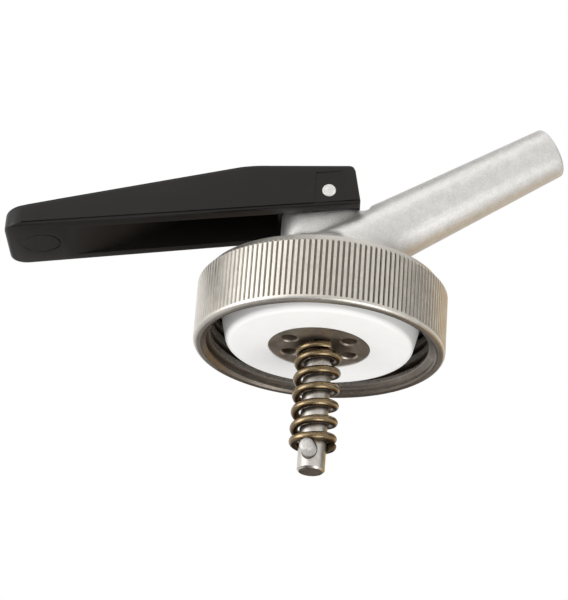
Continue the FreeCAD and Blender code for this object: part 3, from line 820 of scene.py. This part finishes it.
class TAP_OT_valve(Operator):
    """Finishes the valve plate, the stem, its pins and the small inner pieces"""

    bl_idname = "tap.valve"
    bl_label = "Stem and valve"

    def execute(self, context):
        values = context.scene.tap_valve
        dress(plate_steel(values.plate_tint), "valve_plate", "valve_disc", "valve_clip")
        dress(bright_steel(values.stem_tint), "valve_stem")
        dress(soft_finish("seal rubber", values.rubber_tint, 0.6), "stem_o_ring")
        dress(soft_finish("gasket rubber", values.gasket_tint, 0.5), "valve_gasket")
        slip = soft_finish("slip nylon", values.slip_tint, 0.42)
        dress(slip, "nut_slip_washer", "gland_bush", "plate_seal_ring")
        dress(cropped_pin("cross pin", values.cross_tint), "spring_cross_pin")
        dress(cropped_pin("lever pin", values.pin_tint), "lever_pin")
        return {"FINISHED"}


class TAP_OT_spring(Operator):
    """Winds the return spring: a closed coil on top, open coils, and a hook past the pin"""

    bl_idname = "tap.spring"
    bl_label = "Return spring"

    def execute(self, context):
        values = context.scene.tap_spring
        start = math.radians(-59)
        steps_per_turn = 44
        wire_sides = 20
        deselect()
        bpy.ops.mesh.primitive_circle_add(
            vertices=wire_sides,
            radius=values.wire / 2,
            fill_type="NGON",
            location=(values.coil * math.cos(start), values.coil * math.sin(start), values.top),
            rotation=(math.pi / 2, 0, start),
        )
        piece = settle()
        piece.name = "coil_spring"
        choose(piece, lambda face: True, "FACE")
        count = round(values.turns * steps_per_turn)
        for step in range(count):
            here, there = (self.level(values, values.turns * at / count) for at in (step, step + 1))
            extrude((0, 0, there - here))
            bpy.ops.transform.rotate(
                value=2 * math.pi * values.turns / count, orient_axis="Z", center_override=(0, 0, 0)
            )
        face_outward()
        ends = [face.index for face in piece.data.polygons if len(face.vertices) == wire_sides]
        choose(piece, lambda face: face.index in ends, "FACE")
        bpy.ops.mesh.inset(thickness=0.12 * MM)
        object_mode()
        finish_piece(piece, spring_wire(values), "tap_body", ["return_spring"], 50.0)
        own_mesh(piece)
        return {"FINISHED"}

    def level(self, values, turn):
        """Level of the wire's centre after that many turns from the top."""
        closed_drop = values.wire + 0.05 * MM
        flat_turns, flat_before_hook, hook_turns = 0.72, 0.5, 0.22
        hook_drop = 0.6 * MM
        flat = values.turns - flat_turns
        if turn < 1:
            return values.top - closed_drop * turn
        if turn < flat:
            open_drop = values.top - closed_drop - values.rest
            return values.top - closed_drop - open_drop * (turn - 1) / (flat - 1)
        return values.rest - hook_drop * max(0.0, (turn - flat - flat_before_hook) / hook_turns)


def lever_under(values, x):
    """Level of the lever's underside at that x."""
    return PIVOT_Z - values.under_drop + x * math.tan(values.under_angle)


def lever_top(values, x):
    """The top line: nearly level over the pin, then sloping down to the tip."""
    level = PIVOT_Z + values.top_rise + max(x, -values.bend) * math.tan(values.top_angle)
    return level + min(0.0, x + values.bend) * math.tan(values.slope_angle)


def lever_growth(values):
    """How much each side widens per length from the heel to the tip."""
    return (values.tip_width - values.heel_width) / 2 / (values.reach + values.heel)


def lever_half(values, x):
    """Half the lever's width at that x."""
    return values.heel_width / 2 + lever_growth(values) * (values.heel - x)


class TAP_OT_lever(Operator):
    """Models the black lever: a rounded tapered block, a channel below and the mould's marks"""

    bl_idname = "tap.lever"
    bl_label = "Lever"

    def execute(self, context):
        values = context.scene.tap_lever
        piece = self.blank(values)
        self.round_outside(piece, values)
        carve(piece, self.channel(values), self.fork(values))
        carve(piece, self.eye_pocket(), self.pin_hole(values))
        self.round_rims(piece, values)
        carve(piece, self.ejector_ring(values))
        carve(piece, *(self.insert_mark(values, side) for side in (-1, 1)))
        carve(piece, *(self.parting_line(values, side) for side in (-1, 1)))
        finish_piece(piece, black_plastic(values), "lever", ["lever"], 32.0)
        return {"FINISHED"}

    def blank(self, values):
        """A block cut to the lever's underside, top, heel, tip and sides."""
        low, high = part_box("lever")
        margin = Vector.Fill(3, 4 * MM)
        piece = block(Vector(low) - margin, Vector(high) + margin, "black_lever")
        heel, bend = values.heel, -values.bend
        under, top = math.tan(values.under_angle), math.tan(values.top_angle)
        trim(piece, (0, 0, lever_under(values, 0)), (under, 0, -1))
        trim(piece, (0, 0, lever_top(values, 0)), (-top, 0, 1))
        trim(piece, (bend, 0, lever_top(values, bend)), (-math.tan(values.slope_angle), 0, 1))
        trim(piece, (heel, 0, lever_under(values, heel)), (1, 0, math.tan(values.heel_slant)))
        trim(piece, (-values.reach, 0, 0), (-1, 0, 0))
        self.narrow(piece, values, 0)
        return piece

    def narrow(self, piece, values, wall):
        """Brings a piece's sides in to that wall inside the lever's sides."""
        for side in (-1, 1):
            half = lever_half(values, 0) - wall
            trim(piece, (0, side * half, 0), (lever_growth(values), side, 0))
        return piece

    def round_outside(self, piece, values):
        """Rounds the tip's corners and the bend, then every outer edge with its own radius."""
        tip = -values.reach
        near = 0.01 * MM
        sharp_turn = math.radians(40)

        def at_tip_corner(a, b):
            return abs(a.x - tip) < near and abs(b.x - tip) < near and abs(a.z - b.z) > MM

        def at_bend(a, b):
            return abs(a.x + values.bend) < near and abs(b.x + values.bend) < near

        bevel(piece, at_tip_corner, values.plan_round, segments=10)
        bend_turn = values.slope_angle - values.top_angle
        bevel(piece, at_bend, values.bend_round * math.tan(bend_turn / 2), segments=5)

        # The edge's radius fades from the tip's to the long edges' over three scored steps.
        fade_start, fade_end = tip + values.plan_round + 3.5 * MM, tip + 12 * MM
        fade_steps = 3
        for step in range(fade_steps + 1):
            x = fade_start + (fade_end - fade_start) * step / fade_steps
            score(piece, (x, 0, 0), (1, 0, 0))

        def radius(edge):
            a, b = (vert.co for vert in edge.verts)
            middle = (a + b) / 2
            if middle.z < lever_under(values, middle.x) + near:
                return values.edge_round
            if middle.x > 0 and abs(a.y - b.y) > values.cheek:
                return values.heel_round
            fade = min(1.0, max(0.0, (fade_end - middle.x) / (fade_end - fade_start)))
            fade = fade * fade * (3 - 2 * fade)
            return values.edge_round + (values.tip_round - values.edge_round) * fade

        mesh = bmesh.new()
        mesh.from_mesh(piece.data)
        weight = mesh.edges.layers.float.new("bevel_weight_edge")
        offsets = {}
        for edge in mesh.edges:
            turn = edge.link_faces[0].normal.angle(edge.link_faces[1].normal)
            if turn > sharp_turn:
                offsets[edge] = radius(edge) * math.tan(turn / 2)
        widest = max(offsets.values())
        for edge, offset in offsets.items():
            edge[weight] = offset / widest
        mesh.to_mesh(piece.data)
        mesh.free()
        modify(
            piece, "BEVEL", limit_method="WEIGHT", width=widest, segments=5, use_clamp_overlap=False
        )

    def channel(self, values):
        """The hollow: a strip led along its roof, then drawn down past the underside."""
        near, skim, ease = 0.01 * MM, 0.05 * MM, 1.5 * MM
        lead_in, depth = 2 * MM, 30 * MM
        arc_steps = 12
        under = values.under_angle
        foot = Vector((-values.ramp_start, 0, lever_under(values, -values.ramp_start) - skim))
        head = Vector((-values.ramp_end, 0, lever_top(values, -values.ramp_end) - values.roof))
        rise = math.atan2(head.z - foot.z, head.x - foot.x)
        along = Vector((math.cos(under), 0, math.sin(under)))
        arc_start = foot - along * values.ramp_round * math.tan((rise - under) / 2)
        centre = arc_start + Vector((-along.z, 0, along.x)) * values.ramp_round
        route = []
        for step in range(arc_steps + 1):
            lean = under + (rise - under) * step / arc_steps
            route.append(centre + Vector((math.sin(lean), 0, -math.cos(lean))) * values.ramp_round)
        route.append(head - (head - route[-1]).normalized() * ease)
        for x in (-values.ramp_end + ease, -values.bend, -values.block_back):
            route.append(Vector((x, 0, lever_top(values, x) - values.roof)))
        begin = route[0] - along * lead_in
        deselect()
        bpy.ops.mesh.primitive_plane_add(size=1, location=(begin + route[0]) / 2)
        tool = bpy.context.object
        tool.scale = ((route[0] - begin).length, values.tip_width, 1)
        tool.rotation_euler = (0, -under, 0)
        settle()
        for here, there in zip(route, route[1:]):
            choose(tool, lambda vert: (Vector((vert.co.x, 0, vert.co.z)) - here).length < near)
            extrude(there - here)
        bpy.ops.mesh.select_all(action="SELECT")
        extrude((0, 0, -depth))
        face_outward()
        return self.narrow(tool, values, values.cheek)

    def fork(self, values):
        """The gap under the pivot block, which the body's head stands in."""
        reach = values.tip_width
        ceiling = PIVOT_Z - PIN_ABOVE_BLOCK
        low = (-values.block_back - MM, -reach, 0)
        tool = block(low, (values.heel + MM, reach, ceiling), "fork")
        return self.narrow(tool, values, values.cheek)

    def eye_pocket(self):
        """The pocket that the stem's eye swings in."""
        half_length, half_width, above = 4.03 * MM, 3.15 * MM, 3.8 * MM
        low = (-half_length, -half_width, PIVOT_Z - PIN_ABOVE_BLOCK - MM)
        return block(low, (half_length, half_width, PIVOT_Z + above), "eye_pocket")

    def pin_hole(self, values):
        """The hole for the lever's pin, through both cheeks."""
        deselect()
        bpy.ops.mesh.primitive_cylinder_add(
            vertices=64,
            radius=1.5 * MM,
            depth=2 * values.tip_width,
            location=(0, 0, PIVOT_Z),
            rotation=(math.pi / 2, 0, 0),
        )
        return settle()

    def round_rims(self, piece, values):
        """Eases the channel's long rims and the low edge of the pivot block."""
        near = 0.02 * MM
        ramp_clear = 2 * MM

        def at_rim(a, b):
            return all(
                abs(end.z - lever_under(values, end.x)) < near
                and abs(abs(end.y) - lever_half(values, end.x) + values.cheek) < near
                and end.x > -values.ramp_start + ramp_clear
                for end in (a, b)
            )

        bevel(piece, at_rim, values.rim_round, segments=3)

    def ejector_ring(self, values):
        """The ring that the mould's ejector leaves under the tip."""
        x = -63.03 * MM
        lean = math.radians(1.6)
        deselect()
        bpy.ops.mesh.primitive_torus_add(
            major_segments=72,
            minor_segments=10,
            major_radius=4.12 * MM,
            minor_radius=0.2 * MM,
            location=(x, 0, lever_under(values, x)),
            rotation=(0, -values.under_angle - lean, 0),
        )
        return settle()

    def insert_mark(self, values, side):
        """The shallow square that the mould's insert leaves round the pin's end."""
        x, depth = -0.35 * MM, 0.12 * MM
        back, front, height = 2.8 * MM, 4.3 * MM, 7.45 * MM
        inner = lever_half(values, x) - depth
        low = lever_under(values, x) + values.edge_round
        near, far = sorted((side * inner, side * (inner + 2 * MM)))
        tool = block((x - back, near, low - MM), (x + 6 * MM, far, low + 9 * MM), "insert")
        along = math.tan(values.under_angle)
        trim(tool, (x, 0, low), (along, 0, -1))
        trim(tool, (x, 0, low + height), (-along, 0, 1))
        trim(tool, (x + front, 0, low), (1, 0, math.tan(values.heel_slant)))
        return tool

    def parting_line(self, values, side):
        """The narrow line along one side, just above the underside."""
        depth, above = 0.28 * MM, 0.3 * MM
        begin, end = -values.reach + values.plan_round, values.heel + MM
        middle = (begin + end) / 2
        length = (end - begin) / math.cos(values.under_angle)
        deselect()
        bpy.ops.mesh.primitive_cube_add(size=1)
        tool = bpy.context.object
        tool.scale = (length, 2 * MM, values.parting)
        tool.rotation_euler = (0, -values.under_angle, -side * math.atan(lever_growth(values)))
        y = side * (lever_half(values, middle) - depth + MM)
        tool.location = (middle, y, lever_under(values, middle) + above + values.parting / 2)
        return settle()


class TAP_OT_stage(Operator):
    """Sets the floor, the soft light and the camera"""

    bl_idname = "tap.stage"
    bl_label = "Studio"

    def execute(self, context):
        values = context.scene.tap_stage
        self.camera(context, values)
        self.floor(values)
        self.surroundings(context, values)
        for lamp in LAMPS:
            self.lamp(*lamp)
        for name, place, spread, tint in CARDS:
            self.card(name, place, spread, tint or values.card_tint)
        context.scene.view_settings.view_transform = "Standard"
        return {"FINISHED"}

    def camera(self, context, values):
        bpy.ops.object.camera_add()
        camera = context.object
        camera.name = "camera"
        camera.data.lens = values.lens
        camera.data.sensor_width = 36.0
        turn = Matrix(CAMERA_AXES).transposed().to_4x4()
        camera.matrix_world = Matrix.Translation(CAMERA_PLACE) @ turn
        camera.data.clip_start = 0.05
        camera.data.clip_end = 20.0
        context.scene.camera = camera

    def floor(self, values):
        deselect()
        bpy.ops.mesh.primitive_circle_add(
            vertices=96, radius=4.0, fill_type="NGON", location=(0, 0, values.floor_level)
        )
        floor = bpy.context.object
        floor.name = "studio_floor"
        finish = Finish("studio floor")
        base = finish.mottle(finish.noise(60.0, 2.0), values.floor_tint, 0.985, 1.0, 0.2, 0.8)
        floor.data.materials.append(finish.surface(Base_Color=base, Roughness=0.75))

    def surroundings(self, context, values):
        """White to the camera and in reflections, softer as the light on the object."""
        world = bpy.data.worlds.new("studio")
        context.scene.world = world
        world.use_nodes = True
        finish = Finish("studio", world.node_tree)
        seen = finish.node("LightPath", out="Is Camera Ray")
        rays = seen.socket.node
        for output in ("Is Glossy Ray", "Is Transmission Ray"):
            seen = seen.maths("MAXIMUM", seen, Signal(finish, rays.outputs[output]))
        level = finish.blend(seen, [values.ambient] * 3, (1.0, 1.0, 1.0))
        light = finish.node("Background", {}, {"Color": level, "Strength": 1.0})
        finish.node("OutputWorld", {}, {"Surface": light})

    def lamp(self, name, place, width, power):
        """A round lamp that faces the object."""
        bpy.ops.object.light_add(type="AREA", location=place)
        lamp = bpy.context.object
        lamp.name = name
        lamp.data.shape = "DISK"
        lamp.data.size = width
        lamp.data.energy = power
        lamp.rotation_mode = "QUATERNION"
        lamp.rotation_quaternion = Vector(place).to_track_quat("Z", "Y")
        lamp.visible_camera = False

    def card(self, name, place, spread, tint):
        """A soft-edged card beside the picture that shows only in reflections."""
        deselect()
        bpy.ops.mesh.primitive_plane_add(size=1.0)
        card = bpy.context.object
        card.name = name.replace(" ", "_")
        card.scale = (*spread, 1.0)
        card.rotation_mode = "QUATERNION"
        card.rotation_quaternion = Vector(place).to_track_quat("Z", "Y")
        card.location = place
        finish = Finish(name)
        spot = finish.node("TexCoord", out="Object")
        distance = finish.node("VectorMath", {"operation": "LENGTH"}, {0: spot}, out="Value")
        glow = finish.node("Emission", {}, {"Color": tint})
        clear = finish.node("BsdfTransparent")
        soft = finish.node("MixShader", {}, {0: distance.fade(0.22, 0.5), 1: glow, 2: clear})
        finish.node("OutputMaterial", {}, {"Surface": soft})
        card.data.materials.append(finish.material)
        card.visible_camera = False
        card.visible_diffuse = False
        card.visible_shadow = False


OPERATORS = (
    TAP_OT_cast_body,
    TAP_OT_union_nut,
    TAP_OT_sealing_cone,
    TAP_OT_valve,
    TAP_OT_spring,
    TAP_OT_lever,
    TAP_OT_stage,
)


class TAP_PT_tools(Panel):
    """Lists the pieces of the tap"""

    bl_idname = "TAP_PT_tools"
    bl_label = "Jerrican tap"
    bl_space_type = "VIEW_3D"
    bl_region_type = "UI"
    bl_category = "Tap"

    def draw(self, context):
        for group, operator in zip(GROUPS, OPERATORS):
            box = self.layout.box()
            box.operator(operator.bl_idname)
            values = getattr(context.scene, group)
            for name in values.bl_rna.properties.keys():
                if name not in ("rna_type", "name"):
                    box.prop(values, name)


def register():
    for group in (*GROUPS.values(), *OPERATORS, TAP_PT_tools):
        bpy.utils.register_class(group)
    for name, group in GROUPS.items():
        setattr(bpy.types.Scene, name, PointerProperty(type=group))


def unregister():
    for name in GROUPS:
        delattr(bpy.types.Scene, name)
    for group in (TAP_PT_tools, *reversed(OPERATORS), *reversed(list(GROUPS.values()))):
        bpy.utils.unregister_class(group)


def main():
    register()
    bpy.ops.tap.cast_body()
    bpy.ops.tap.union_nut()
    bpy.ops.tap.sealing_cone()
    bpy.ops.tap.valve()
    bpy.ops.tap.spring()
    bpy.ops.tap.lever()
    bpy.ops.tap.stage()


if __name__ == "__main__":
    main()
